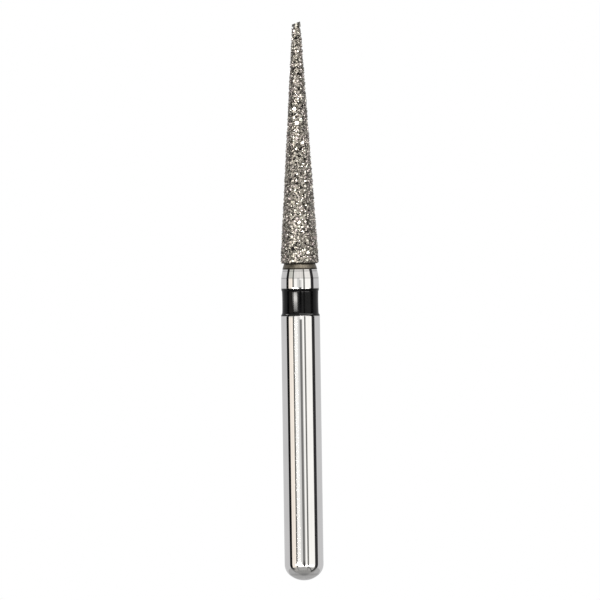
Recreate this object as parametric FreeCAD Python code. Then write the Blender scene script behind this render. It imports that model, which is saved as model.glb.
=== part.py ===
import FreeCAD, Part
import math
import os
import random

# A friction-grip dental bur with a long pointed diamond head, in millimetres.
# It stands tip up. The origin is the centre of the shank's rounded end, and +Z is its axis.

# Shank
SHANK_DIAMETER = 1.600
SHANK_LENGTH = 10.90  # from the rounded end to the colour band
END_CORNER_RADIUS = 0.60
END_CORNER_LIMIT = 0.95  # largest share of the shank's radius that the corner may take
END_CROWN_EXCESS = 0.10  # how far the end's crown radius exceeds the shank's radius

# Colour band, a groove filled with lacquer whose face is hollow between two lips
BAND_WIDTH = 1.10
GROOVE_FLANK_WIDTH = 0.05
GROOVE_FLANK_DEPTH = 0.075
GROOVE_HOLLOW = 0.015  # how much deeper the groove's floor is in its middle
LACQUER_LIP_WIDTH = 0.04
LACQUER_LIP_FALL = 0.005
LACQUER_DIP = 0.05
LACQUER_DIP_RADIUS = 0.15
LACQUER_HOLLOW = 0.007  # how much deeper the lacquer's waist is in its middle

# Collar above the band, and the shoulder that narrows it to the neck
COLLAR_SETBACK = 0.020  # how far the collar's lower edge lies inside the shank's face
COLLAR_TAPER = 0.008  # how much the collar's radius falls up to the shoulder
COLLAR_LENGTH = 0.45
SHOULDER_HEIGHT = 0.60
SHOULDER_CROWN_RADIUS = 2.60
NECK_DIAMETER = 1.26

# Tapered core that carries the plated head, as wide as the neck at its base
CORE_TIP_DIAMETER = 0.04
CORE_LENGTH = 9.67

# Nickel bond, plated over the core and a little way down the shoulder
MARGIN_HEIGHT = 0.235
MARGIN_THICKNESS = 0.015
BOND_THICKNESS = 0.11
BOND_EDGE_BEVEL = 0.04
BOND_TIP_THICKNESS = 0.08
BOND_TIP_BEVEL = 0.02

# Diamond crystals that stand out of the bond
CRYSTAL_SPACING = 0.158  # nearest that two crystals' middles come
CRYSTAL_WIDTH = 0.20  # widest that a crystal grows, where its neighbours leave room
CRYSTAL_GAP = 0.010
CRYSTAL_HEIGHT_LEAST = 0.030
CRYSTAL_HEIGHT_MOST = 0.060
CRYSTAL_TAPER = 0.45  # how fast the sides lean in towards the crystal's own axis
CRYSTAL_SLANT = 0.75  # most that a top rises or falls at its rim, as a share of the height
CRYSTAL_SIDES = (3, 4, 4, 5)
CORNER_SHIFT = 0.2  # how far a corner strays round the foot, as a share of one side
CRYSTAL_TRIES = 6000
CRYSTAL_SEED = 16

# The one crystal that ends the tip, its top falling towards -X
END_CRYSTAL_DIAMETER = 0.38
END_CRYSTAL_HEIGHT = 0.165
END_CRYSTAL_TAPER = 0.12
END_CRYSTAL_SLANT = 0.42  # rise of its top at the rim, as a share of its height
END_CRYSTAL_SIDES = 6

# Places along the axis
BAND_BOTTOM = SHANK_LENGTH
BAND_TOP = BAND_BOTTOM + BAND_WIDTH
SHOULDER_BOTTOM = BAND_TOP + COLLAR_LENGTH
NECK_HEIGHT = SHOULDER_BOTTOM + SHOULDER_HEIGHT
CORE_TOP = NECK_HEIGHT + CORE_LENGTH
BOND_BOTTOM = NECK_HEIGHT - MARGIN_HEIGHT
BOND_TOP = CORE_TOP + BOND_TIP_THICKNESS

# Radii, and how fast the core's falls towards the tip
SHANK_RADIUS = SHANK_DIAMETER / 2
COLLAR_RADIUS = SHANK_RADIUS - COLLAR_SETBACK
SHOULDER_RADIUS = COLLAR_RADIUS - COLLAR_TAPER
GROOVE_RADIUS = SHANK_RADIUS - GROOVE_FLANK_DEPTH
WAIST_RADIUS = SHANK_RADIUS - LACQUER_DIP
NECK_RADIUS = NECK_DIAMETER / 2
CORE_TIP_RADIUS = CORE_TIP_DIAMETER / 2
CRYSTAL_RADIUS = CRYSTAL_WIDTH / 2
CORE_SLOPE = (NECK_RADIUS - CORE_TIP_RADIUS) / CORE_LENGTH

ORIGIN = FreeCAD.Vector(0, 0, 0)
AXIS = FreeCAD.Vector(0, 0, 1)

# Directions in the profile's plane, as angles from its outward direction
OUTWARD = 0
INWARD = math.pi
DOWNWARD = -math.pi / 2


def point(radius, height):
    """A point of a turned profile, in the plane Y = 0."""
    return FreeCAD.Vector(radius, 0, height)


def line(start, end):
    return Part.LineSegment(start, end).toShape()


def arc(centre, radius, first, last):
    """An arc of a profile about a centre, from one direction to another."""
    def at(angle):
        return centre + point(radius * math.cos(angle), radius * math.sin(angle))
    return Part.Arc(at(first), at((first + last) / 2), at(last)).toShape()


def ends(edge):
    """Start and end of an edge, in the order in which it was drawn."""
    return edge.valueAt(edge.FirstParameter), edge.valueAt(edge.LastParameter)


def turned(pieces):
    """The solid that a closed profile sweeps in one turn about the bur's axis.

    A line joins each piece of the profile to the next, wherever they don't meet already.
    """
    edges = []
    for piece, following in zip(pieces, pieces[1:] + pieces[:1]):
        edges.append(piece)
        gap_start, gap_end = ends(piece)[1], ends(following)[0]
        if gap_start.distanceToPoint(gap_end) > Part.Precision.confusion():
            edges.append(line(gap_start, gap_end))
    return Part.Face(Part.Wire(edges)).revolve(ORIGIN, AXIS, 360)


def bevel(before, corner, after, width):
    """The line that cuts off a profile's corner, the same width back along both of its sides."""
    to_before = (before - corner).normalize()
    to_after = (after - corner).normalize()
    return line(corner + to_before * width, corner + to_after * width)


def end_arcs():
    """Crown and corner of the shank's rounded end, tangent to each other and to the shank."""
    corner_radius = min(END_CORNER_RADIUS, END_CORNER_LIMIT * SHANK_RADIUS)
    crown_radius = SHANK_RADIUS + END_CROWN_EXCESS
    centre_radius = SHANK_RADIUS - corner_radius
    centre_rise = math.sqrt((crown_radius - corner_radius) ** 2 - centre_radius ** 2)
    meeting = DOWNWARD + math.atan2(centre_radius, centre_rise)
    crown = arc(point(0, crown_radius), crown_radius, DOWNWARD, meeting)
    corner_centre = point(centre_radius, crown_radius - centre_rise)
    return [crown, arc(corner_centre, corner_radius, meeting, OUTWARD)]


def hollow(start, end, depth):
    """The shallow arc that joins two points of a profile and sinks inwards between them."""
    return Part.Arc(start, (start + end) / 2 - point(depth, 0), end).toShape()


def groove():
    """Flank, hollow floor and flank of the groove, from the shank's rim up to the collar's."""
    lower_floor = point(GROOVE_RADIUS, BAND_BOTTOM + GROOVE_FLANK_WIDTH)
    upper_floor = point(GROOVE_RADIUS, BAND_TOP - GROOVE_FLANK_WIDTH)
    lower_flank = line(point(SHANK_RADIUS, BAND_BOTTOM), lower_floor)
    upper_flank = line(upper_floor, point(COLLAR_RADIUS, BAND_TOP))
    return [lower_flank, hollow(lower_floor, upper_floor, GROOVE_HOLLOW), upper_flank]


def dip(lip, side):
    """Three points of the arc by which the lacquer's face sinks from a lip to its waist.

    side is 1 where the waist lies above the lip, and -1 where it lies below.
    """
    centre_radius = WAIST_RADIUS + LACQUER_DIP_RADIUS
    lean = math.acos((centre_radius - lip.x) / LACQUER_DIP_RADIUS)
    centre = point(centre_radius, lip.z + side * LACQUER_DIP_RADIUS * math.sin(lean))
    return [
        centre - point(math.cos(angle), side * math.sin(angle)) * LACQUER_DIP_RADIUS
        for angle in (lean, lean / 2, 0)
    ]


def lacquer_face():
    """Lip, dip, hollow waist, dip and lip of the lacquer, from the shank up to the collar."""
    shank_rim = point(SHANK_RADIUS, BAND_BOTTOM)
    collar_rim = point(COLLAR_RADIUS, BAND_TOP)
    lower_dip = dip(shank_rim + point(-LACQUER_LIP_FALL, LACQUER_LIP_WIDTH), 1)
    upper_dip = dip(collar_rim + point(-LACQUER_LIP_FALL, -LACQUER_LIP_WIDTH), -1)
    return [
        line(shank_rim, lower_dip[0]),
        Part.Arc(*lower_dip).toShape(),
        hollow(lower_dip[-1], upper_dip[-1], LACQUER_HOLLOW),
        Part.Arc(*reversed(upper_dip)).toShape(),
        line(upper_dip[0], collar_rim),
    ]


def shoulder_centre():
    """Centre of the arc that bulges from the collar's upper edge to the neck."""
    collar_edge = point(SHOULDER_RADIUS, SHOULDER_BOTTOM)
    neck_edge = point(NECK_RADIUS, NECK_HEIGHT)
    chord = neck_edge - collar_edge
    inward = point(-chord.z, chord.x).normalize()
    depth = math.sqrt(SHOULDER_CROWN_RADIUS ** 2 - (chord.Length / 2) ** 2)
    return collar_edge + chord / 2 + inward * depth


def shoulder_arc(bottom, plating):
    """The shoulder from a height up to the neck, bare or under a plating."""
    centre = shoulder_centre()
    first = math.asin((bottom - centre.z) / SHOULDER_CROWN_RADIUS)
    last = math.asin((NECK_HEIGHT - centre.z) / SHOULDER_CROWN_RADIUS)
    return arc(centre + point(plating, 0), SHOULDER_CROWN_RADIUS, first, last)


def steel_blank():
    """Shank, groove, collar, shoulder, neck and tapered core, turned from one bar."""
    core_end = line(point(CORE_TIP_RADIUS, CORE_TOP), point(0, CORE_TOP))
    return turned(end_arcs() + groove() + [shoulder_arc(SHOULDER_BOTTOM, 0), core_end])


def colour_band(blank):
    """The lacquer that fills the groove, its lips level with the shank and the collar."""
    axis = line(point(0, BAND_TOP), point(0, BAND_BOTTOM))
    return turned(lacquer_face() + [axis]).cut(blank).Solids[0]


def bond_radius(height):
    """Radius at a height of the cone that the crystals stand on."""
    return NECK_RADIUS + BOND_THICKNESS - CORE_SLOPE * (height - NECK_HEIGHT)


def nickel_bond(blank):
    """The plating: a thin smooth margin on the shoulder, then the thick bond of the head."""
    margin = shoulder_arc(BOND_BOTTOM, MARGIN_THICKNESS)
    margin_bottom, margin_top = ends(margin)
    base_corner = point(bond_radius(NECK_HEIGHT), NECK_HEIGHT)
    tip_corner = point(bond_radius(BOND_TOP), BOND_TOP)
    tip_centre = point(0, BOND_TOP)
    base_edge = bevel(margin_top, base_corner, tip_corner, BOND_EDGE_BEVEL)
    tip_edge = bevel(base_corner, tip_corner, tip_centre, BOND_TIP_BEVEL)
    bottom = line(point(0, BOND_BOTTOM), margin_bottom)
    end = line(ends(tip_edge)[1], tip_centre)
    return turned([bottom, margin, base_edge, tip_edge, end]).cut(blank).Solids[0]


def crystal(seat, out, sides, radius, height, taper, slant, neighbours, rng):
    """A flat-footed block with sides that lean in and a top cut off at a slope.

    seat is the middle of its foot and out the direction in which it stands. slant points the way
    that its top rises, and is as long as the share of the height that the top gains at its rim.
    Its corners reach no further than half way to its neighbours' seats, so that crystals never
    touch.
    """
    across = out.cross(AXIS)
    if across.Length < Part.Precision.confusion():
        across = FreeCAD.Vector(0, -1, 0)
    across.normalize()
    along = across.cross(out)
    turn = rng.uniform(0, 2 * math.pi)
    apex = radius / taper
    foot, top = [], []
    for i in range(sides):
        angle = turn + 2 * math.pi * (i + rng.uniform(-CORNER_SHIFT, CORNER_SHIFT)) / sides
        heading = across * math.cos(angle) + along * math.sin(angle)
        reach = radius
        for neighbour in neighbours:
            half_way = (neighbour - seat) / 2
            facing = heading.dot(half_way) / half_way.Length
            if facing > 0:
                reach = min(reach, (half_way.Length - CRYSTAL_GAP / 2) / facing)
        arm = heading * reach
        rise = slant.dot(arm) * height / radius
        share = (height + rise) / (apex + rise)  # of the way from the foot to the apex
        foot.append(seat + arm)
        top.append(seat + arm * (1 - share) + out * (apex * share))
    polygons = [foot[::-1], top]
    for i in range(sides):
        polygons.append([foot[i - 1], foot[i], top[i], top[i - 1]])
    shell = Part.Shell([Part.Face(Part.makePolygon(p + p[:1])) for p in polygons])
    shell.sewShape()
    return Part.Solid(shell)


def crystal_seats(rng):
    """Middles and outward directions of the crystals' feet, close together but never touching.

    Random places, even over the cone's area, are taken from the base upwards, and one that lies
    too near to a crystal already seated is passed over.
    """
    first = NECK_HEIGHT + BOND_EDGE_BEVEL + CRYSTAL_SPACING / 2
    last = BOND_TOP - CRYSTAL_RADIUS - CRYSTAL_GAP
    widest, narrowest = bond_radius(first), bond_radius(last)
    places = []
    for _ in range(CRYSTAL_TRIES):
        radius = math.sqrt(rng.uniform(narrowest ** 2, widest ** 2))
        places.append((first + (widest - radius) / CORE_SLOPE, rng.uniform(0, 2 * math.pi), radius))
    lean = math.atan(CORE_SLOPE)
    seats = []
    for height, turn, radius in sorted(places):
        heading = FreeCAD.Vector(math.cos(turn), math.sin(turn), 0)
        seat = heading * radius + AXIS * height
        near = [s for s, _ in reversed(seats) if s.z > height - CRYSTAL_SPACING]
        if all(seat.distanceToPoint(s) >= CRYSTAL_SPACING for s in near):
            seats.append((seat, heading * math.cos(lean) + AXIS * math.sin(lean)))
    return seats


def diamond_grit():
    """All the crystals of the head, each a solid of its own, with the one on the tip last."""
    rng = random.Random(CRYSTAL_SEED)
    seats = crystal_seats(rng)
    crystals = []
    for seat, out in seats:
        turn = rng.uniform(0, 2 * math.pi)
        level = out.cross(AXIS).normalize()
        slope = level * math.cos(turn) + level.cross(out) * math.sin(turn)
        slant = slope * rng.uniform(0, CRYSTAL_SLANT)
        height = rng.uniform(CRYSTAL_HEIGHT_LEAST, CRYSTAL_HEIGHT_MOST)
        reach = CRYSTAL_WIDTH + CRYSTAL_GAP
        neighbours = [s for s, _ in seats if 0 < s.distanceToPoint(seat) < reach]
        crystals.append(crystal(seat, out, rng.choice(CRYSTAL_SIDES), CRYSTAL_RADIUS, height,
                                CRYSTAL_TAPER, slant, neighbours, rng))
    tip = point(0, BOND_TOP)
    tip_slant = FreeCAD.Vector(END_CRYSTAL_SLANT, 0, 0)
    crystals.append(crystal(tip, AXIS, END_CRYSTAL_SIDES, END_CRYSTAL_DIAMETER / 2,
                            END_CRYSTAL_HEIGHT, END_CRYSTAL_TAPER, tip_slant, [], rng))
    return Part.makeCompound(crystals)


def main():
    os.makedirs("parts", exist_ok=True)
    blank = steel_blank()
    nodes = {
        "steel_blank": blank,
        "colour_band": colour_band(blank),
        "nickel_bond": nickel_bond(blank),
        "diamond_grit": diamond_grit(),
    }
    for name, shape in nodes.items():
        shape.exportStep(f"parts/{name}.step")


if __name__ == "__main__":
    main()
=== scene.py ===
import math
import random

import bmesh
import bpy
from bpy.props import FloatProperty, FloatVectorProperty, IntProperty, PointerProperty
from mathutils import Matrix, Vector, noise
from mathutils.bvhtree import BVHTree


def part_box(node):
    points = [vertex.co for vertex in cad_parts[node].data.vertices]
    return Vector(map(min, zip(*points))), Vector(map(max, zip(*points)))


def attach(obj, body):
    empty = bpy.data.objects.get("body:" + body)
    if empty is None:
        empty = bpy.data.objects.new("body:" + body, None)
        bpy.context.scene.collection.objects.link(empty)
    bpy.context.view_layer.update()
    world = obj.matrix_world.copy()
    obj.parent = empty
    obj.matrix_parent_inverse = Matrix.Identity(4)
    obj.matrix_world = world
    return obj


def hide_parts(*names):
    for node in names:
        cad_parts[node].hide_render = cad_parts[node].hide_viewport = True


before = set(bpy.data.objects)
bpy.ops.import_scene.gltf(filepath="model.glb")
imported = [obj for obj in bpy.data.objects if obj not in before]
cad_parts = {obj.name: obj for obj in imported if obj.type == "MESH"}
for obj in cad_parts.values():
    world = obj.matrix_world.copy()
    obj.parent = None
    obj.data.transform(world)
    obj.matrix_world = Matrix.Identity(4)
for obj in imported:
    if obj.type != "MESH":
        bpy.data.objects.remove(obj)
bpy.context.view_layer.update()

bl_info = {
    "name": "Dental bur",
    "version": (1, 0, 0),
    "blender": (4, 5, 0),
    "location": "3D View > Sidebar > Bur",
    "description": "Dresses a turned dental bur with its steel, lacquer, nickel and diamond grit",
    "category": "Mesh",
}

MM = 0.001
MICRON = 0.001 * MM

# Corners of three of the frame's four nodes
STEEL_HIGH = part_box("steel_blank")[1]
BAND_LOW, BAND_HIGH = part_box("colour_band")
BOND_LOW, BOND_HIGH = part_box("nickel_bond")

# Directions in an outline's plane, as angles from its outward direction
OUTWARD = 0.0
DOWNWARD = -math.pi / 2

MERGE_DISTANCE = 0.02 * MICRON
SHARP_ANGLE = math.radians(38)

# Steps in which each form is turned about the axis, and rows along the plated head
BLANK_STEPS = 224
BAND_STEPS = 192
BOND_STEPS = 160
HEAD_ROWS = 320


# Sizes and colours that a user would change

def length(name, description, default):
    return FloatProperty(name=name, description=description, default=default, unit="LENGTH",
                         precision=6, min=0.0)


def colour(name, description, default):
    return FloatVectorProperty(name=name, description=description, default=default, size=3,
                               subtype="COLOR", min=0.0, max=1.0)


class BurSizes(bpy.types.PropertyGroup):
    """Sizes of the turned blank, its band and its plating"""

    shank_radius: length("Shank radius", "Radius of the ground shank", STEEL_HIGH[0])
    end_corner: length("End corner", "Radius of the rounded corner at the shank's end", 0.60 * MM)
    end_crown: length("End crown", "Radius of the shank's domed end", 0.90 * MM)
    groove_flank_width: length("Flank width", "Width of each sloped flank of the groove",
                               0.05 * MM)
    groove_flank_depth: length("Flank depth", "Depth of the groove's flanks", 0.075 * MM)
    groove_hollow: length("Groove hollow", "How much deeper the groove's middle is", 0.015 * MM)
    lip_width: length("Lip width", "Width of the lacquer's lip at each rim", 0.04 * MM)
    lip_fall: length("Lip fall", "How far the lip falls across its width", 0.005 * MM)
    lacquer_dip: length("Lacquer dip", "Depth of the lacquer's waist", 0.05 * MM)
    dip_radius: length("Dip radius", "Radius by which the face sinks to its waist", 0.15 * MM)
    lacquer_hollow: length("Lacquer hollow", "How much deeper the waist's middle is", 0.007 * MM)
    collar_setback: length("Collar setback", "How far the collar lies inside the shank's face",
                           0.020 * MM)
    collar_taper: length("Collar taper", "How much the collar narrows upwards", 0.008 * MM)
    collar_length: length("Collar length", "Height of the collar above the band", 0.45 * MM)
    shoulder_height: length("Shoulder height", "Height of the domed shoulder", 0.60 * MM)
    shoulder_crown: length("Shoulder crown", "Radius of the shoulder's bulge", 2.60 * MM)
    neck_radius: length("Neck radius", "Radius of the neck below the head", 0.63 * MM)
    core_tip_radius: length("Core tip radius", "Radius of the core's end", 0.02 * MM)
    core_end_depth: length("Core end depth", "Plating over the end of the core", 0.08 * MM)
    margin_thickness: length("Margin thickness", "Plating on the shoulder", 0.015 * MM)
    bond_thickness: length("Bond thickness", "Plating on the core", 0.11 * MM)
    bond_edge: length("Bond edge", "Bevel at the foot of the head", 0.04 * MM)
    bond_tip_edge: length("Bond tip edge", "Bevel at the top of the head", 0.02 * MM)
    rim_round: length("Rim round", "Rounding of the steel's rims beside the band", 0.030 * MM)


class BurGrit(bpy.types.PropertyGroup):
    """The fine grains between the crystals, and the plating's swell"""

    crystal_edge: length("Crystal edge", "Worn edge of each large crystal", 0.006 * MM)
    chip_count: IntProperty(name="Chips", description="Number of the fine grains", default=9000,
                            min=0)
    chip_least: length("Least chip", "Radius of the smallest fine grain", 0.026 * MM)
    chip_most: length("Largest chip", "Radius of the largest fine grain", 0.048 * MM)
    chip_reach: length("Chip reach", "How far the grains stand out of the nickel", 0.084 * MM)
    chip_setback: length("Chip setback", "How far inside the shank's face the grains stay",
                         0.004 * MM)
    swell_height: length("Swell height", "How far the nickel climbs at a crystal", 0.016 * MM)
    swell_reach: length("Swell reach", "How far from a crystal the nickel climbs", 0.025 * MM)
    nodule_height: length("Nodule height", "Height of the plating's own nodules", 0.010 * MM)
    nodule_size: length("Nodule size", "Width of the plating's own nodules", 0.050 * MM)
    seed: IntProperty(name="Seed", description="Start of the random draws", default=7, min=0)


class BurColours(bpy.types.PropertyGroup):
    """Colours of the four finishes"""

    steel: colour("Steel", "Polished steel of the shank", (0.86, 0.85, 0.84))
    lacquer: colour("Lacquer", "Black of the coding band", (0.001, 0.001, 0.0011))
    # Painted shade and painted light: the head's nickel is darker in its hollows and lighter on
    # its swells; the shaded colour also paints the dark lines at the margin's lower edge and the
    # head's foot
    nickel_shaded: colour("Nickel, dark", "Nickel in the hollows", (0.018, 0.017, 0.015))
    nickel_lit: colour("Nickel, light", "Nickel on the swells", (0.20, 0.185, 0.16))
    margin: colour("Margin", "Thin nickel on the shoulder", (0.17, 0.15, 0.12))
    crystal_dark: colour("Crystal, dark", "Darkest crystals", (0.035, 0.031, 0.027))
    crystal_light: colour("Crystal, light", "Brightest crystals", (0.95, 0.88, 0.805))
    # Painted shade: the colour that the grit is mixed towards near the head's outline, where it
    # is seen aslant
    crystal_aslant_shade: colour("Crystal heap", "Grit seen aslant", (0.21, 0.193, 0.179))


class BurStudio(bpy.types.PropertyGroup):
    """The stage that the bur stands on, and the camera"""

    frame_width: length("Frame width", "Width of the picture at the bur", 24.712 * MM)
    aim_height: length("Aim height", "Height that the camera looks at", 11.549 * MM)
    aim_offset: FloatProperty(name="Aim offset", description="How far to the side it looks",
                              default=-0.010 * MM, unit="LENGTH", precision=6)
    roll: FloatProperty(name="Roll", description="Roll of the camera, which leans the bur",
                        default=math.radians(0.84), subtype="ANGLE")
    distance: length("Distance", "How far off the camera stands", 250 * MM)
    floor_radius: length("Floor radius", "Radius of the pale floor", 60 * MM)


# Outlines, as lists of (radius, height)

def straight(start, end, pieces=1):
    """Points of a straight run, with both ends."""
    return [
        (start[0] + (end[0] - start[0]) * i / pieces, start[1] + (end[1] - start[1]) * i / pieces)
        for i in range(pieces + 1)
    ]


def arc(centre, radius, first, last, pieces):
    """Points of an arc about a centre, from one direction to another."""
    angles = [first + (last - first) * i / pieces for i in range(pieces + 1)]
    return [(centre[0] + radius * math.cos(a), centre[1] + radius * math.sin(a)) for a in angles]


def hollow(start, end, depth, pieces):
    """Points of a shallow curve that sinks inwards between two points."""
    run = straight(start, end, pieces)
    return [
        (radius - depth * (1 - (2 * i / pieces - 1) ** 2), height)
        for i, (radius, height) in enumerate(run)
    ]


def joined(*stretches):
    """One outline of several stretches, without the points that they share."""
    outline = []
    for stretch in stretches:
        for place in stretch:
            if not outline or math.dist(place, outline[-1]) > MERGE_DISTANCE:
                outline.append(place)
    return outline


def end_outline(sizes):
    """The shank's domed end, from the axis to its straight wall."""
    offset = sizes.shank_radius - sizes.end_corner
    rise = math.sqrt((sizes.end_crown - sizes.end_corner) ** 2 - offset ** 2)
    meeting = DOWNWARD + math.atan2(offset, rise)
    crown = arc((0, sizes.end_crown), sizes.end_crown, DOWNWARD, meeting, 24)
    corner = arc((offset, sizes.end_crown - rise), sizes.end_corner, meeting, OUTWARD, 24)
    return joined(crown, corner)


def groove_outline(sizes):
    """Flank, hollow floor and flank of the groove under the lacquer, from below."""
    floor_radius = sizes.shank_radius - sizes.groove_flank_depth
    low = (floor_radius, BAND_LOW[2] + sizes.groove_flank_width)
    high = (floor_radius, BAND_HIGH[2] - sizes.groove_flank_width)
    return joined(
        straight((sizes.shank_radius, BAND_LOW[2]), low),
        hollow(low, high, sizes.groove_hollow, 10),
        straight(high, (sizes.shank_radius - sizes.collar_setback, BAND_HIGH[2])),
    )


def lacquer_dip(sizes, lip, side):
    """The arc by which the lacquer sinks from a lip to its waist, which lies on that side."""
    waist = sizes.shank_radius - sizes.lacquer_dip
    centre_radius = waist + sizes.dip_radius
    lean = math.acos((centre_radius - lip[0]) / sizes.dip_radius)
    centre = (centre_radius, lip[1] + side * sizes.dip_radius * math.sin(lean))
    return arc(centre, sizes.dip_radius, math.pi + side * lean, math.pi, 8)


def lacquer_outline(sizes):
    """The lacquer's face from the shank's rim up to the collar's."""
    low = (sizes.shank_radius, BAND_LOW[2])
    high = (sizes.shank_radius - sizes.collar_setback, BAND_HIGH[2])
    lower = lacquer_dip(sizes, (low[0] - sizes.lip_fall, low[1] + sizes.lip_width), 1)
    upper = lacquer_dip(sizes, (high[0] - sizes.lip_fall, high[1] - sizes.lip_width), -1)
    waist = hollow(lower[-1], upper[-1], sizes.lacquer_hollow, 16)
    return joined([low], lower, waist, upper[::-1], [high])


def shoulder_outline(sizes, low, high, plating, pieces):
    """The domed shoulder between two heights, bare or under a plating."""
    foot = BAND_HIGH[2] + sizes.collar_length
    foot_radius = sizes.shank_radius - sizes.collar_setback - sizes.collar_taper
    chord = Vector((sizes.neck_radius - foot_radius, sizes.shoulder_height))
    inward = Vector((-chord.y, chord.x)).normalized()
    depth = math.sqrt(sizes.shoulder_crown ** 2 - (chord.length / 2) ** 2)
    centre = Vector((foot_radius, foot)) + chord / 2 + inward * depth
    first = math.asin((low - centre.y) / sizes.shoulder_crown)
    last = math.asin((high - centre.y) / sizes.shoulder_crown)
    return arc((centre.x + plating, centre.y), sizes.shoulder_crown, first, last, pieces)


def neck_height(sizes):
    return BAND_HIGH[2] + sizes.collar_length + sizes.shoulder_height


def core_outline(sizes):
    """The tapered core inside the head, from the neck up to the axis."""
    top = BOND_HIGH[2] - sizes.core_end_depth
    base = (sizes.neck_radius, neck_height(sizes))
    return joined(straight(base, (sizes.core_tip_radius, top), 40), [(0, top)])


def bond_radius(sizes, height):
    """Radius of the plated cone at a height."""
    top = BOND_HIGH[2] - sizes.core_end_depth
    slope = (sizes.neck_radius - sizes.core_tip_radius) / (top - neck_height(sizes))
    return sizes.neck_radius + sizes.bond_thickness - slope * (height - neck_height(sizes))


def cut_corner(before, corner, after, width):
    """The two ends of the bevel that cuts a corner off an outline."""
    ends = []
    for other in (before, after):
        towards = (Vector(other) - Vector(corner)).normalized()
        ends.append(tuple(Vector(corner) + towards * width))
    return ends


# Turned forms

def turned(outline, closed, steps):
    """The form that an outline sweeps in one turn about the bur's axis."""
    bm = bmesh.new()
    verts = [bm.verts.new((radius, 0, height)) for radius, height in outline]
    following = verts[1:] + verts[:1] if closed else verts[1:]
    edges = [bm.edges.new(pair) for pair in zip(verts, following)]
    bmesh.ops.spin(bm, geom=verts + edges, cent=(0, 0, 0), axis=(0, 0, 1), dvec=(0, 0, 0),
                   angle=math.tau, steps=steps, use_merge=True)
    bmesh.ops.remove_doubles(bm, verts=bm.verts, dist=MERGE_DISTANCE)
    bmesh.ops.recalc_face_normals(bm, faces=bm.faces)
    return bm


def round_rim(bm, radius, height, width):
    """Rounds the ring of edges at a radius and height."""
    def on_rim(vert):
        reach = math.hypot(vert.co.x, vert.co.y)
        return abs(reach - radius) < MICRON and abs(vert.co.z - height) < MICRON
    rim = [edge for edge in bm.edges if all(on_rim(vert) for vert in edge.verts)]
    if not rim:
        raise RuntimeError(f"no rim at radius {radius} and height {height}")
    bmesh.ops.bevel(bm, geom=rim, offset=width, offset_type="OFFSET", segments=3, profile=0.5,
                    affect="EDGES", material=-1)


def finished(name, bm, material, slot, *nodes, smooth=True):
    """Makes a piece of a bmesh, which rides on the bur and stands for some of its nodes."""
    for face in bm.faces:
        face.smooth = smooth
    mesh = bpy.data.meshes.new(name)
    bm.to_mesh(mesh)
    bm.free()
    if smooth:
        mesh.set_sharp_from_angle(angle=SHARP_ANGLE)
    mesh.materials.append(material)
    piece = bpy.data.objects.new(name, mesh)
    bpy.context.scene.collection.objects.link(piece)
    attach(piece, "root")
    if nodes:
        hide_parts(*nodes)
    return piece


# Shader nodes

def add_node(tree, kind, inputs=None, **settings):
    """A node with its settings, and its inputs set to values or linked to other sockets."""
    node = tree.nodes.new(kind)
    for name, value in settings.items():
        setattr(node, name, value)
    for key, value in (inputs or {}).items():
        if isinstance(value, bpy.types.NodeSocket):
            tree.links.new(value, node.inputs[key])
        else:
            node.inputs[key].default_value = value
    return node


def maths(tree, operation, first, second=0.0):
    return add_node(tree, "ShaderNodeMath", {0: first, 1: second}, operation=operation).outputs[0]


def ranged(tree, value, low, high, to_low=0.0, to_high=1.0, step="SMOOTHSTEP"):
    """A value mapped from one range to another, and held there."""
    inputs = {"Value": value, "From Min": low, "From Max": high, "To Min": to_low,
              "To Max": to_high}
    return add_node(tree, "ShaderNodeMapRange", inputs, interpolation_type=step).outputs[0]


def mixed(tree, factor, first, second):
    """Two colours mixed by a factor."""
    node = add_node(tree, "ShaderNodeMix", data_type="RGBA")
    for key, value in ((0, factor), (6, first), (7, second)):
        if isinstance(value, bpy.types.NodeSocket):
            tree.links.new(value, node.inputs[key])
        else:
            node.inputs[key].default_value = value
    return node.outputs[2]


def rgba(values):
    return (values[0], values[1], values[2], 1.0)


def new_group(name, inputs, outputs):
    """An empty node group with float sockets, and its input and output nodes."""
    group = bpy.data.node_groups.new(name, "ShaderNodeTree")
    for label, default in inputs:
        socket = group.interface.new_socket(label, in_out="INPUT", socket_type="NodeSocketFloat")
        socket.default_value = default
    for label in outputs:
        group.interface.new_socket(label, in_out="OUTPUT", socket_type="NodeSocketFloat")
    return group, group.nodes.new("NodeGroupInput"), group.nodes.new("NodeGroupOutput")


def group_node(tree, name, **inputs):
    """A group placed in a tree, with its inputs set or linked; underscores stand for spaces."""
    node = tree.nodes.new("ShaderNodeGroup")
    node.node_tree = bpy.data.node_groups[name]
    for key, value in inputs.items():
        socket = node.inputs[key.replace("_", " ")]
        if isinstance(value, bpy.types.NodeSocket):
            tree.links.new(value, socket)
        else:
            socket.default_value = value
    return node


def make_turning_lines():
    """Fine rings that grinding leaves round the axis, and slow drift of the surface."""
    group, entry, leave = new_group(
        "Turning lines", [("Lines per metre", 40000.0), ("Drift per metre", 900.0)],
        ["Rings", "Drift"])
    place = add_node(group, "ShaderNodeTexCoord").outputs["Object"]
    axis = add_node(group, "ShaderNodeSeparateXYZ", {0: place}).outputs["Z"]
    rings = add_node(group, "ShaderNodeTexNoise",
                     {"W": axis, "Scale": entry.outputs["Lines per metre"], "Detail": 3.0},
                     noise_dimensions="1D")
    drift = add_node(group, "ShaderNodeTexNoise",
                     {"Vector": place, "Scale": entry.outputs["Drift per metre"], "Detail": 2.0})
    group.links.new(rings.outputs[0], leave.inputs["Rings"])
    group.links.new(drift.outputs[0], leave.inputs["Drift"])


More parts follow.
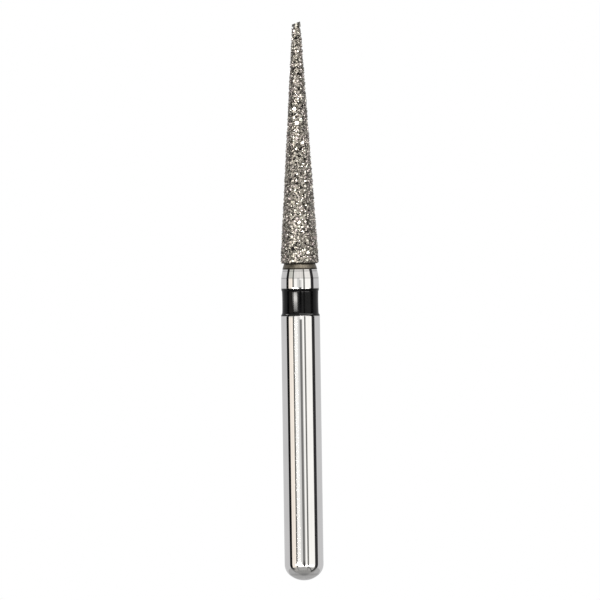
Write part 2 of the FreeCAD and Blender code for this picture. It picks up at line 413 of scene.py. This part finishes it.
def make_height_line():
    """A mask that is one at a height on the bur and fades within a width of it."""
    group, entry, leave = new_group("Line at height", [("Height", 0.0), ("Width", 0.0001)],
                                    ["Mask"])
    place = add_node(group, "ShaderNodeTexCoord").outputs["Object"]
    axis = add_node(group, "ShaderNodeSeparateXYZ", {0: place}).outputs["Z"]
    away = maths(group, "ABSOLUTE", maths(group, "SUBTRACT", axis, entry.outputs["Height"]))
    mask = ranged(group, away, 0.0, entry.outputs["Width"], 1.0, 0.0)
    group.links.new(mask, leave.inputs["Mask"])


def make_studio_panel():
    """A mask of one panel or flag of the studio, in degrees round the bur and above its level."""
    group, entry, leave = new_group(
        "Studio panel",
        [("Azimuth", 0.0), ("Elevation", 0.0), ("From", 0.0), ("To", 0.0), ("Bottom", -90.0),
         ("Top", 90.0), ("Edge", 1.0), ("Lean", 0.0)],
        ["Mask"])
    given = entry.outputs
    fall = maths(group, "SUBTRACT", given["Top"], given["Elevation"])
    upright = maths(group, "SUBTRACT", given["Azimuth"],
                    maths(group, "MULTIPLY", fall, given["Lean"]))
    masks = []
    for value, low, high in ((upright, "From", "To"), (given["Elevation"], "Bottom", "Top")):
        for limit, sign in ((low, 1.0), (high, -1.0)):
            inside = maths(group, "MULTIPLY",
                           maths(group, "SUBTRACT", value, given[limit]), sign)
            outer = maths(group, "MULTIPLY", given["Edge"], -1.0)
            masks.append(ranged(group, inside, outer, given["Edge"]))
    product = masks[0]
    for mask in masks[1:]:
        product = maths(group, "MULTIPLY", product, mask)
    group.links.new(product, leave.inputs["Mask"])


# Finishes

# Turned rings on the domed end, at the shoulder's foot and half way up the shoulder, and the
# painted shade on the steel's rims beside the groove, each with its height, its width and how
# dark it is
TURNED_RINGS_AND_RIM_SHADE = (
    (0.24 * MM, 0.07 * MM, 0.20),
    (12.45 * MM, 0.04 * MM, 0.42),
    (12.745 * MM, 0.04 * MM, 0.42),
    # The groove's two rims: painted shade that dims the steel's reflections there
    (BAND_LOW[2], 0.04 * MM, 0.40),
    (BAND_HIGH[2], 0.055 * MM, 0.97),
)

# Steel in the darkest ring, the painted shade on the collar's rim, as a share of its own colour
RING_SHADE = 0.04

# How far the lacquer's face looks down, as a slope
LACQUER_SAG = 0.035

# Grain and patches of the plated nickel, to a metre, and the width of the painted shade along the
# margin's lower edge and at the head's foot
NICKEL_GRAINS = 45000.0
NICKEL_PATCHES = 5000.0
MARGIN_SHADE_WIDTH = 0.06 * MM

# Clouds in the crystals' faces and the painted shade in their hollows, to a metre, and how the
# clouds sway their tone
CRYSTAL_CLOUDS = 12500.0
CRYSTAL_HOLLOW_SHADE = 9000.0
CLOUD_MIDDLE = 0.36
CLOUD_SWING = 3.4

# Faint casts between which each crystal's colour lies, greenish and purplish
CRYSTAL_CASTS = ((0.92, 1.0, 0.93), (1.0, 0.93, 1.0))


def new_finish(name):
    """A material with its Principled shader, and its tree."""
    material = bpy.data.materials.new(name)
    material.use_nodes = True
    tree = material.node_tree
    return material, tree, tree.nodes["Principled BSDF"]


def bump(tree, height, distance, strength=1.0, normal=None):
    inputs = {"Height": height, "Distance": distance, "Strength": strength}
    if normal is not None:
        inputs["Normal"] = normal
    return add_node(tree, "ShaderNodeBump", inputs).outputs[0]


def steel_finish(colours):
    """Ground and polished steel, with faint turned rings, painted shade on its rims beside the
    lacquer, and a little drift in its face.
    """
    material, tree, shader = new_finish("Polished steel")
    marks = group_node(tree, "Turning lines", Lines_per_metre=60000.0, Drift_per_metre=500.0)
    tint = mixed(tree, ranged(tree, marks.outputs["Drift"], 0.3, 0.7),
                 rgba([c * 0.95 for c in colours.steel]), rgba(colours.steel))
    # Turned rings, and painted shade on the rims beside the lacquer, darken the steel's colour
    for height, width, depth in TURNED_RINGS_AND_RIM_SHADE:
        line = group_node(tree, "Line at height", Height=height, Width=width)
        shade = maths(tree, "MULTIPLY", line.outputs["Mask"], depth)
        tint = mixed(tree, shade, tint, rgba([c * RING_SHADE for c in colours.steel]))
    tree.links.new(tint, shader.inputs["Base Color"])
    tree.links.new(ranged(tree, marks.outputs["Rings"], 0.3, 0.7, 0.02, 0.04),
                   shader.inputs["Roughness"])
    shader.inputs["Metallic"].default_value = 1.0
    waves = bump(tree, marks.outputs["Drift"], 0.5 * MICRON)
    tree.links.new(bump(tree, marks.outputs["Rings"], 0.02 * MICRON, normal=waves),
                   shader.inputs["Normal"])
    return material


def lacquer_finish(colours):
    """Glossy black lacquer that has settled unevenly in its groove."""
    material, tree, shader = new_finish("Black lacquer")
    marks = group_node(tree, "Turning lines", Lines_per_metre=9000.0, Drift_per_metre=1800.0)
    tint = mixed(tree, ranged(tree, marks.outputs["Drift"], 0.35, 0.65), rgba(colours.lacquer),
                 rgba([c * 2.2 for c in colours.lacquer]))
    tree.links.new(tint, shader.inputs["Base Color"])
    tree.links.new(ranged(tree, marks.outputs["Drift"], 0.3, 0.7, 0.09, 0.13),
                   shader.inputs["Roughness"])
    shader.inputs["Specular IOR Level"].default_value = 0.15
    waves = bump(tree, marks.outputs["Drift"], 1.2 * MICRON)
    sagged = add_node(tree, "ShaderNodeVectorMath", {0: waves, 1: (0, 0, -LACQUER_SAG)},
                      operation="ADD").outputs[0]
    tree.links.new(add_node(tree, "ShaderNodeVectorMath", {0: sagged},
                            operation="NORMALIZE").outputs[0], shader.inputs["Normal"])
    return material


def nickel_finish(colours, sizes):
    """Dull plated nickel: smooth on the margin, with painted shade in the hollows of the head,
    painted light on its swells, and painted shade along the margin's lower edge and at the head's
    foot.
    """
    material, tree, shader = new_finish("Nickel bond")
    place = add_node(tree, "ShaderNodeTexCoord").outputs["Object"]
    axis = add_node(tree, "ShaderNodeSeparateXYZ", {0: place}).outputs["Z"]
    swell = add_node(tree, "ShaderNodeAttribute", attribute_name="swell").outputs["Fac"]
    grain = add_node(tree, "ShaderNodeTexNoise",
                     {"Vector": place, "Scale": NICKEL_GRAINS, "Detail": 4.0}).outputs[0]
    patches = add_node(tree, "ShaderNodeTexNoise",
                       {"Vector": place, "Scale": NICKEL_PATCHES, "Detail": 3.0}).outputs[0]
    # Painted shade and light: darker where the swell attribute marks hollows, lighter on the
    # swells, besides the random grain
    height = maths(tree, "ADD", swell, maths(tree, "MULTIPLY_ADD", grain, 0.5))
    head = mixed(tree, ranged(tree, height, 0.1, 0.9), rgba(colours.nickel_shaded),
                 rgba(colours.nickel_lit))
    margin = mixed(tree, ranged(tree, patches, 0.35, 0.65),
                   rgba([c * 0.75 for c in colours.margin]), rgba(colours.margin))
    foot = neck_height(sizes)
    on_head = ranged(tree, axis, foot, foot + 0.02 * MM)
    tint = mixed(tree, on_head, margin, head)
    # Painted shade: dark lines along the margin's lower edge, where the plating steps onto the
    # steel, and at the head's foot
    edge = BOND_LOW[2] + 0.02 * MM
    for line_height, depth in ((edge, 0.84), (foot, 0.70)):
        line = group_node(tree, "Line at height", Height=line_height, Width=MARGIN_SHADE_WIDTH)
        shade = maths(tree, "MULTIPLY", line.outputs["Mask"], depth)
        tint = mixed(tree, shade, tint, rgba([c * 0.2 for c in colours.nickel_shaded]))
    tree.links.new(tint, shader.inputs["Base Color"])
    tree.links.new(ranged(tree, patches, 0.3, 0.7, 0.30, 0.46), shader.inputs["Roughness"])
    shader.inputs["Metallic"].default_value = 1.0
    tree.links.new(bump(tree, grain, 2.0 * MICRON), shader.inputs["Normal"])
    return material


def diamond_finish(colours):
    """Grey to cream crystals, each of its own tone, with cloudy faces, painted shade in their
    hollows and on facets seen aslant, and painted shade towards the head's outline.
    """
    material, tree, shader = new_finish("Diamond grit")
    place = add_node(tree, "ShaderNodeTexCoord").outputs["Object"]
    tone = add_node(tree, "ShaderNodeAttribute", attribute_name="tone").outputs["Fac"]
    cloud = add_node(tree, "ShaderNodeTexNoise",
                     {"Vector": place, "Scale": CRYSTAL_CLOUDS, "Detail": 1.5}).outputs[0]
    sway = maths(tree, "MULTIPLY", maths(tree, "SUBTRACT", cloud, CLOUD_MIDDLE), CLOUD_SWING)
    level = maths(tree, "ADD", maths(tree, "MULTIPLY", tone, 0.7), sway)
    tint = mixed(tree, ranged(tree, level, 0.15, 0.75), rgba(colours.crystal_dark),
                 rgba(colours.crystal_light))
    # Painted shade: darker towards the borders of small cells, as if in hollows between facets,
    # and on facets seen at grazing angles
    hollows = add_node(tree, "ShaderNodeTexVoronoi",
                       {"Vector": place, "Scale": CRYSTAL_HOLLOW_SHADE, "Randomness": 0.8})
    grazing_shade = add_node(tree, "ShaderNodeLayerWeight", {"Blend": 0.35}).outputs["Facing"]
    shade = maths(tree, "MAXIMUM", ranged(tree, hollows.outputs["Distance"], 0.46, 0.59),
                  maths(tree, "MULTIPLY", grazing_shade, 0.5))
    tint = mixed(tree, shade, tint, rgba([c * 0.5 for c in colours.crystal_dark]))
    # Painted shade: towards the head's outline, where the cone is seen aslant, the grit is mixed
    # with a dull grey and made rougher
    across = add_node(tree, "ShaderNodeVectorMath", {0: place, 1: (1, 1, 0)},
                      operation="MULTIPLY").outputs[0]
    outward = add_node(tree, "ShaderNodeVectorMath", {0: across}, operation="NORMALIZE")
    aslant = add_node(tree, "ShaderNodeLayerWeight",
                      {"Blend": 0.5, "Normal": outward.outputs[0]}).outputs["Facing"]
    aslant_shade_and_rough = ranged(tree, aslant, 0.05, 0.42)
    tint = mixed(tree, maths(tree, "MULTIPLY", aslant_shade_and_rough, 0.68), tint, rgba(colours.crystal_aslant_shade))
    draw = add_node(tree, "ShaderNodeTexWhiteNoise", {"W": tone}, noise_dimensions="1D")
    cast = mixed(tree, draw.outputs["Value"], rgba(CRYSTAL_CASTS[0]), rgba(CRYSTAL_CASTS[1]))
    product = add_node(tree, "ShaderNodeMix", data_type="RGBA", blend_type="MULTIPLY")
    product.inputs[0].default_value = 1.0
    tree.links.new(tint, product.inputs[6])
    tree.links.new(cast, product.inputs[7])
    tree.links.new(product.outputs[2], shader.inputs["Base Color"])
    polish = ranged(tree, cloud, 0.3, 0.7, 0.03, 0.10)
    tree.links.new(maths(tree, "ADD", polish, maths(tree, "MULTIPLY", aslant_shade_and_rough, 0.22)),
                   shader.inputs["Roughness"])
    shader.inputs["Metallic"].default_value = 0.8
    tree.links.new(bump(tree, cloud, 1.5 * MICRON), shader.inputs["Normal"])
    return material


# The floor's paleness to the camera and in reflections, and the glow that makes it white
FLOOR_SEEN = 0.86
FLOOR_MIRRORED = 0.38
FLOOR_GLOW = 0.32


def floor_finish():
    """Pale floor that shows white to the camera but for the bur's shadow."""
    material, tree, shader = new_finish("Pale floor")
    seen = add_node(tree, "ShaderNodeLightPath").outputs["Is Camera Ray"]
    tree.links.new(mixed(tree, seen, rgba([FLOOR_MIRRORED] * 3), rgba([FLOOR_SEEN] * 3)),
                   shader.inputs["Base Color"])
    shader.inputs["Roughness"].default_value = 0.9
    shader.inputs["Specular IOR Level"].default_value = 0.0
    shader.inputs["Emission Color"].default_value = rgba([1.0] * 3)
    tree.links.new(maths(tree, "MULTIPLY", seen, FLOOR_GLOW), shader.inputs["Emission Strength"])
    return material


# Pieces

class BUR_OT_steel_blank(bpy.types.Operator):
    """Turn the steel blank with its domed end, groove, collar, shoulder and core"""

    bl_idname = "bur.steel_blank"
    bl_label = "Steel blank"

    def execute(self, context):
        sizes = context.scene.bur_sizes
        end = end_outline(sizes)
        collar = (sizes.shank_radius - sizes.collar_setback, BAND_HIGH[2])
        collar_top = (collar[0] - sizes.collar_taper, BAND_HIGH[2] + sizes.collar_length)
        outline = joined(
            end,
            straight(end[-1], (sizes.shank_radius, BAND_LOW[2]), 60),
            groove_outline(sizes),
            straight(collar, collar_top, 6),
            shoulder_outline(sizes, collar_top[1], neck_height(sizes), 0, 20),
            core_outline(sizes),
        )
        bm = turned(outline, False, BLANK_STEPS)
        round_rim(bm, sizes.shank_radius, BAND_LOW[2], sizes.rim_round)
        round_rim(bm, *collar, sizes.rim_round)
        finished("polished_blank", bm, steel_finish(context.scene.bur_colours), "steel",
                 "steel_blank")
        return {"FINISHED"}


class BUR_OT_colour_band(bpy.types.Operator):
    """Fill the groove with black lacquer, hollow between two lips"""

    bl_idname = "bur.colour_band"
    bl_label = "Colour band"

    def execute(self, context):
        sizes = context.scene.bur_sizes
        outline = joined(lacquer_outline(sizes), groove_outline(sizes)[::-1][1:-1])
        bm = turned(outline, True, BAND_STEPS)
        finished("lacquer_band", bm, lacquer_finish(context.scene.bur_colours), "lacquer",
                 "colour_band")
        return {"FINISHED"}


def crystal_copy(edge_width):
    """The frame's crystals, merged into flat-faced blocks with worn edges."""
    bm = bmesh.new()
    bm.from_mesh(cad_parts["diamond_grit"].data)
    bmesh.ops.remove_doubles(bm, verts=bm.verts, dist=MICRON)
    bmesh.ops.dissolve_limit(bm, angle_limit=math.radians(1), verts=bm.verts, edges=bm.edges)
    bmesh.ops.bevel(bm, geom=bm.edges, offset=edge_width, offset_type="OFFSET", segments=1,
                    profile=0.5, affect="EDGES", material=-1, clamp_overlap=True)
    return bm


def islands(bm):
    """Lists of the vertices of each separate block."""
    found, seen = [], set()
    for start in bm.verts:
        if start in seen:
            continue
        seen.add(start)
        block, waiting = [], [start]
        while waiting:
            vert = waiting.pop()
            block.append(vert)
            for edge in vert.link_edges:
                other = edge.other_vert(vert)
                if other not in seen:
                    seen.add(other)
                    waiting.append(other)
        found.append(block)
    return found


def crystal_tree():
    """The frame's crystals, to measure distances from."""
    bm = bmesh.new()
    bm.from_mesh(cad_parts["diamond_grit"].data)
    tree = BVHTree.FromBMesh(bm)
    bm.free()
    return tree


# How the tones of the crystals and of the fine grains are spread, as a beta draw's two shapes
CRYSTAL_TONES = (0.9, 1.6)
CHIP_TONES = (0.8, 1.4)

# The fine grains' different forms, and the places on a ball that each form spans
CHIP_FORMS = 16
CHIP_PLACES = 9

# Power that spreads the fine grains over the cone: at 0.5 evenly, above it closer at the tip
TIP_THINNING = 0.7


def paint_tones(bm, rng):
    """Gives each block a tone of its own, kept as an attribute of its vertices."""
    layer = bm.verts.layers.float.new("tone")
    for block in islands(bm):
        tone = rng.betavariate(*CRYSTAL_TONES)
        for vert in block:
            vert[layer] = tone


class BUR_OT_diamond_grit(bpy.types.Operator):
    """Set the large crystals that stand out of the bond"""

    bl_idname = "bur.diamond_grit"
    bl_label = "Diamond grit"

    def execute(self, context):
        grit = context.scene.bur_grit
        bm = crystal_copy(grit.crystal_edge)
        paint_tones(bm, random.Random(grit.seed))
        finished("diamond_crystals", bm, diamond_finish(context.scene.bur_colours), "diamond",
                 "diamond_grit", smooth=False)
        return {"FINISHED"}


def chip_shape(rng):
    """Corners and faces of a sharp grain of unit radius, the hull of a few places on a ball."""
    bm = bmesh.new()
    for _ in range(CHIP_PLACES):
        way = Vector([rng.gauss(0, 1) for _ in range(3)]).normalized()
        bm.verts.new(way * rng.uniform(0.75, 1.0))
    spare = bmesh.ops.convex_hull(bm, input=bm.verts)["geom_interior"]
    bmesh.ops.delete(bm, geom=[g for g in spare if isinstance(g, bmesh.types.BMVert)],
                     context="VERTS")
    bmesh.ops.recalc_face_normals(bm, faces=bm.faces)
    bm.verts.index_update()
    corners = [vert.co.copy() for vert in bm.verts]
    faces = [[vert.index for vert in face.verts] for face in bm.faces]
    bm.free()
    return corners, faces


def random_turn(rng):
    """An even random rotation."""
    axis = Vector([rng.gauss(0, 1) for _ in range(3)])
    return Matrix.Rotation(rng.uniform(0, math.tau), 4, axis.normalized())


class BUR_OT_fine_grit(bpy.types.Operator):
    """Bed fine grains in the nickel between the large crystals"""

    bl_idname = "bur.fine_grit"
    bl_label = "Fine grit"

    def execute(self, context):
        sizes, grit = context.scene.bur_sizes, context.scene.bur_grit
        rng = random.Random(grit.seed + 1)
        shapes = [chip_shape(rng) for _ in range(CHIP_FORMS)]
        low = neck_height(sizes) + grit.chip_least
        high = BOND_HIGH[2] - grit.chip_least
        widest, narrowest = bond_radius(sizes, low), bond_radius(sizes, high)
        corners, faces, tones = [], [], []
        for _ in range(grit.chip_count):
            radius = narrowest + (widest - narrowest) * rng.random() ** TIP_THINNING
            height = low + (widest - radius) / (widest - narrowest) * (high - low)
            turn = rng.uniform(0, math.tau)
            size = rng.uniform(grit.chip_least, grit.chip_most)
            reach = min(grit.chip_reach, sizes.shank_radius - grit.chip_setback - radius)
            radius += rng.uniform(0, reach - size)
            seat = Vector((radius * math.cos(turn), radius * math.sin(turn), height))
            place = (Matrix.Translation(seat) @ random_turn(rng)
                     @ Matrix.Diagonal((size, size * rng.uniform(0.6, 1.0), size, 1.0)))
            chip_corners, chip_faces = rng.choice(shapes)
            first = len(corners)
            corners += [place @ corner for corner in chip_corners]
            faces += [[first + index for index in face] for face in chip_faces]
            tones += [rng.betavariate(*CHIP_TONES)] * len(chip_corners)
        mesh = bpy.data.meshes.new("grains")
        mesh.from_pydata(corners, [], faces)
        bm = bmesh.new()
        bm.from_mesh(mesh)
        bpy.data.meshes.remove(mesh)
        layer = bm.verts.layers.float.new("tone")
        for vert, tone in zip(bm.verts, tones):
            vert[layer] = tone
        finished("fine_grit", bm, bpy.data.materials["Diamond grit"], "diamond", smooth=False)
        return {"FINISHED"}


def swell_bond(bm, sizes, grit):
    """Raises the plated cone into nodules, and where it climbs the crystals."""
    crystals = crystal_tree()
    layer = bm.verts.layers.float.new("swell")
    foot = neck_height(sizes) + sizes.bond_edge / 2
    noise_scale = 1 / grit.nodule_size
    for vert in bm.verts:
        reach = math.hypot(vert.co.x, vert.co.y)
        if vert.co.z < foot or reach < bond_radius(sizes, vert.co.z) - sizes.bond_tip_edge:
            continue
        near = crystals.find_nearest(vert.co)[3]
        climb = math.exp(-(near / grit.swell_reach) ** 2)
        nodule = max(0.0, fractal(vert.co * noise_scale))
        outward = Vector((vert.co.x, vert.co.y, 0)).normalized()
        vert.co += outward * (climb * grit.swell_height + nodule * grit.nodule_height)
        # The swell attribute also carries the nickel's painted shade and light: dark in the
        # hollows, light where it climbs the crystals and on nodules
        vert[layer] = min(1.0, 0.35 * climb + 0.65 * nodule)


def fractal(place):
    """Smooth noise from about -1 to 1 with two octaves."""
    return noise.noise(place) + 0.5 * noise.noise(place * 2.1)


class BUR_OT_nickel_bond(bpy.types.Operator):
    """Plate the core and the top of the shoulder with nickel"""

    bl_idname = "bur.nickel_bond"
    bl_label = "Nickel bond"

    def execute(self, context):
        sizes, grit = context.scene.bur_sizes, context.scene.bur_grit
        neck = neck_height(sizes)
        bare = shoulder_outline(sizes, BOND_LOW[2], neck, 0, 6)
        plated = shoulder_outline(sizes, BOND_LOW[2], neck, sizes.margin_thickness, 6)
        base = (bond_radius(sizes, neck), neck)
        tip = (bond_radius(sizes, BOND_HIGH[2]), BOND_HIGH[2])
        base_edge = cut_corner(plated[-1], base, tip, sizes.bond_edge)
        tip_edge = cut_corner(base, tip, (0, BOND_HIGH[2]), sizes.bond_tip_edge)
        outline = joined(
            core_outline(sizes)[::-1], bare[::-1], plated, base_edge,
            straight(base_edge[1], tip_edge[0], HEAD_ROWS), tip_edge, [(0, BOND_HIGH[2])])
        bm = turned(outline, False, BOND_STEPS)
        swell_bond(bm, sizes, grit)
        finished("nickel_plating", bm, nickel_finish(context.scene.bur_colours, sizes), "nickel",
                 "nickel_bond")
        return {"FINISHED"}


# Studio round the bur: a pale tent with openings, each from one azimuth to another in degrees,
# with its lowest and highest elevation, the width of its soft edge, and its brightness
STUDIO_PANELS = (
    ("side lamp", -124, -106, 36, 48, 2.0, (13.0, 12.8, 12.5)),
    ("soft box", -10, 110, 43, 62, 2.0, (9.5, 9.4, 9.2)),
    ("brow", -36, 24, 12, 31, 2.0, (0.88, 0.86, 0.83)),
    ("right brow", 24, 70, 12, 31, 2.0, (1.02, 1.00, 0.97)),
    ("low window", -30, 5, -20, -10, 1.0, (8.0, 7.8, 7.6)),
    ("low right window", 8, 60, -20, -10, 1.0, (12.0, 11.8, 11.5)),
    ("left card", -75, -45, -90, 42, 1.0, (1.12, 1.03, 0.93)),
    ("card's top", -75, -45, 8, 42, 4.0, (0.68, 0.68, 0.63)),
    ("left flag", -93, -74, -90, 42, 1.0, (0.012, 0.012, 0.012)),
    ("left seam", -47.5, -38, -90, 42, 1.0, (0.15, 0.15, 0.14)),
    ("haze beside the camera", -18, -3, -3, 10, 3.0, (0.78, 0.78, 0.77)),
    ("camera", -6, 8.5, -20, 1.6, 3.0, (0.06, 0.06, 0.06)),
    ("right seam", 20.5, 30, -90, 42, 1.0, (0.19, 0.19, 0.18)),
    ("right flag", 69, 92, -90, 42, 1.0, (0.035, 0.034, 0.036)),
    ("key window's rim", -50, -15, -7.4, -3.5, 1.0, (16.0, 15.7, 15.2)),
    ("key window", -41, -21, -7.4, -3.5, 1.0, (65.0, 63.5, 61.0)),
    ("key window's foot", -42, -19, -3.4, -1.1, 0.6, (27.0, 26.5, 25.8)),
)
TENT_COLOUR = (1.18, 1.17, 1.14)
TENT_FOLDS = 0.25  # folds of the tent's cloth in a degree
BACKDROP_COLOUR = (0.66, 0.66, 0.67)
TABLE_COLOUR = (0.33, 0.33, 0.32)
TABLE_UNDER_COLOUR = (0.29, 0.29, 0.29)
TABLE_BEHIND_COLOUR = (0.44, 0.44, 0.44)
TABLE_DULLNESS = 0.86  # the rest of the table's face mirrors the tent
# The flags' feet on the table, which lean by so many degrees for each degree further down
TABLE_PANELS = (
    ("left flag's foot", -93, -74, -36, -22, 2.0, 0.9, (0.06, 0.06, 0.06)),
    ("right seam's foot", 20.5, 30, -56, -22, 2.0, 1.3, (0.09, 0.09, 0.09)),
    ("right flag's foot", 73, 88, -56, -22, 2.0, -0.36, (0.05, 0.05, 0.05)),
)


def make_world():
    """The tent and its panels, which only reflections see; the camera sees plain white."""
    world = bpy.data.worlds.new("Studio")
    bpy.context.scene.world = world
    world.use_nodes = True
    tree = world.node_tree
    tree.nodes.clear()
    way = add_node(tree, "ShaderNodeTexCoord").outputs["Generated"]
    x, y, z = add_node(tree, "ShaderNodeSeparateXYZ", {0: way}).outputs
    front = maths(tree, "MULTIPLY", y, -1.0)
    azimuth = maths(tree, "DEGREES", maths(tree, "ARCTAN2", x, front))
    elevation = maths(tree, "DEGREES", maths(tree, "ARCSINE", z))
    behind = ranged(tree, maths(tree, "ABSOLUTE", azimuth), 89.0, 94.0)
    tint = mixed(tree, behind, rgba(TENT_COLOUR), rgba(BACKDROP_COLOUR))
    for _, start, end, bottom, top, edge, brightness in STUDIO_PANELS:
        panel = group_node(tree, "Studio panel", Azimuth=azimuth, Elevation=elevation,
                           From=float(start), To=float(end), Bottom=float(bottom),
                           Top=float(top), Edge=edge)
        tint = mixed(tree, panel.outputs["Mask"], tint, rgba(brightness))
    table = mixed(tree, behind, rgba(TABLE_COLOUR), rgba(TABLE_BEHIND_COLOUR))
    table = mixed(tree, ranged(tree, elevation, -65.0, -85.0), table, rgba(TABLE_UNDER_COLOUR))
    dull = maths(tree, "MAXIMUM", ranged(tree, elevation, -22.0, -24.0, 0.0, TABLE_DULLNESS),
                 ranged(tree, elevation, -24.0, -55.0))
    tint = mixed(tree, dull, tint, table)
    for _, start, end, bottom, top, edge, lean, brightness in TABLE_PANELS:
        panel = group_node(tree, "Studio panel", Azimuth=azimuth, Elevation=elevation,
                           From=float(start), To=float(end), Bottom=float(bottom),
                           Top=float(top), Edge=edge, Lean=lean)
        tint = mixed(tree, panel.outputs["Mask"], tint, rgba(brightness))
    folds = add_node(tree, "ShaderNodeTexNoise",
                     {"W": maths(tree, "MULTIPLY", azimuth, TENT_FOLDS), "Scale": 1.0,
                      "Detail": 2.0}, noise_dimensions="1D").outputs[0]
    tint = add_node(tree, "ShaderNodeVectorMath",
                    {0: tint, "Scale": ranged(tree, folds, 0.3, 0.7, 0.86, 1.06)},
                    operation="SCALE").outputs[0]
    seen = add_node(tree, "ShaderNodeLightPath").outputs["Is Camera Ray"]
    tint = mixed(tree, seen, tint, rgba([1.0] * 3))
    glow = add_node(tree, "ShaderNodeBackground", {"Color": tint, "Strength": 1.0})
    out = tree.nodes.new("ShaderNodeOutputWorld")
    tree.links.new(glow.outputs[0], out.inputs["Surface"])


class BUR_OT_studio(bpy.types.Operator):
    """Set up the floor, the studio light and the camera"""

    bl_idname = "bur.studio"
    bl_label = "Studio"

    def execute(self, context):
        studio = context.scene.bur_studio
        bm = bmesh.new()
        bmesh.ops.create_circle(bm, cap_ends=True, segments=128, radius=studio.floor_radius)
        mesh = bpy.data.meshes.new("floor")
        bm.to_mesh(mesh)
        bm.free()
        mesh.materials.append(floor_finish())
        floor = bpy.data.objects.new("floor", mesh)
        context.scene.collection.objects.link(floor)
        floor.visible_glossy = False
        floor.visible_shadow = False
        make_world()
        self.place_camera(context.scene, studio)
        context.scene.view_settings.view_transform = "Standard"
        return {"FINISHED"}

    def place_camera(self, scene, studio):
        """Level camera in front of the bur, rolled a little so that the bur leans."""
        data = bpy.data.cameras.new("camera")
        data.type = "ORTHO"
        data.ortho_scale = studio.frame_width
        right = Vector((math.cos(studio.roll), 0, -math.sin(studio.roll)))
        up = Vector((math.sin(studio.roll), 0, math.cos(studio.roll)))
        back = Vector((0, -1, 0))
        aim = Vector((studio.aim_offset, 0, studio.aim_height))
        turn = Matrix((right, up, back)).transposed().to_4x4()
        camera = bpy.data.objects.new("camera", data)
        camera.matrix_world = Matrix.Translation(aim + back * studio.distance) @ turn
        data.clip_start = studio.distance * 0.1
        data.clip_end = studio.distance * 10
        scene.collection.objects.link(camera)
        scene.camera = camera


class BUR_PT_panel(bpy.types.Panel):
    """The bur's pieces and sizes in the sidebar"""

    bl_idname = "BUR_PT_panel"
    bl_label = "Dental bur"
    bl_space_type = "VIEW_3D"
    bl_region_type = "UI"
    bl_category = "Bur"

    def draw(self, context):
        for group in (context.scene.bur_sizes, context.scene.bur_grit,
                      context.scene.bur_colours, context.scene.bur_studio):
            box = self.layout.box()
            for name in group.__annotations__:
                box.prop(group, name)
        for operator in OPERATORS:
            self.layout.operator(operator.bl_idname)


PROPERTY_GROUPS = {
    "bur_sizes": BurSizes,
    "bur_grit": BurGrit,
    "bur_colours": BurColours,
    "bur_studio": BurStudio,
}
OPERATORS = (
    BUR_OT_steel_blank,
    BUR_OT_colour_band,
    BUR_OT_nickel_bond,
    BUR_OT_diamond_grit,
    BUR_OT_fine_grit,
    BUR_OT_studio,
)


def register():
    for name, group in PROPERTY_GROUPS.items():
        bpy.utils.register_class(group)
        setattr(bpy.types.Scene, name, PointerProperty(type=group))
    for cls in (*OPERATORS, BUR_PT_panel):
        bpy.utils.register_class(cls)


def unregister():
    for cls in (BUR_PT_panel, *reversed(OPERATORS)):
        bpy.utils.unregister_class(cls)
    for name, group in PROPERTY_GROUPS.items():
        delattr(bpy.types.Scene, name)
        bpy.utils.unregister_class(group)


def main():
    register()
    for make_group in (make_turning_lines, make_height_line, make_studio_panel):
        make_group()
    for operator in OPERATORS:
        area, _, name = operator.bl_idname.partition(".")
        getattr(getattr(bpy.ops, area), name)()


if __name__ == "__main__":
    main()
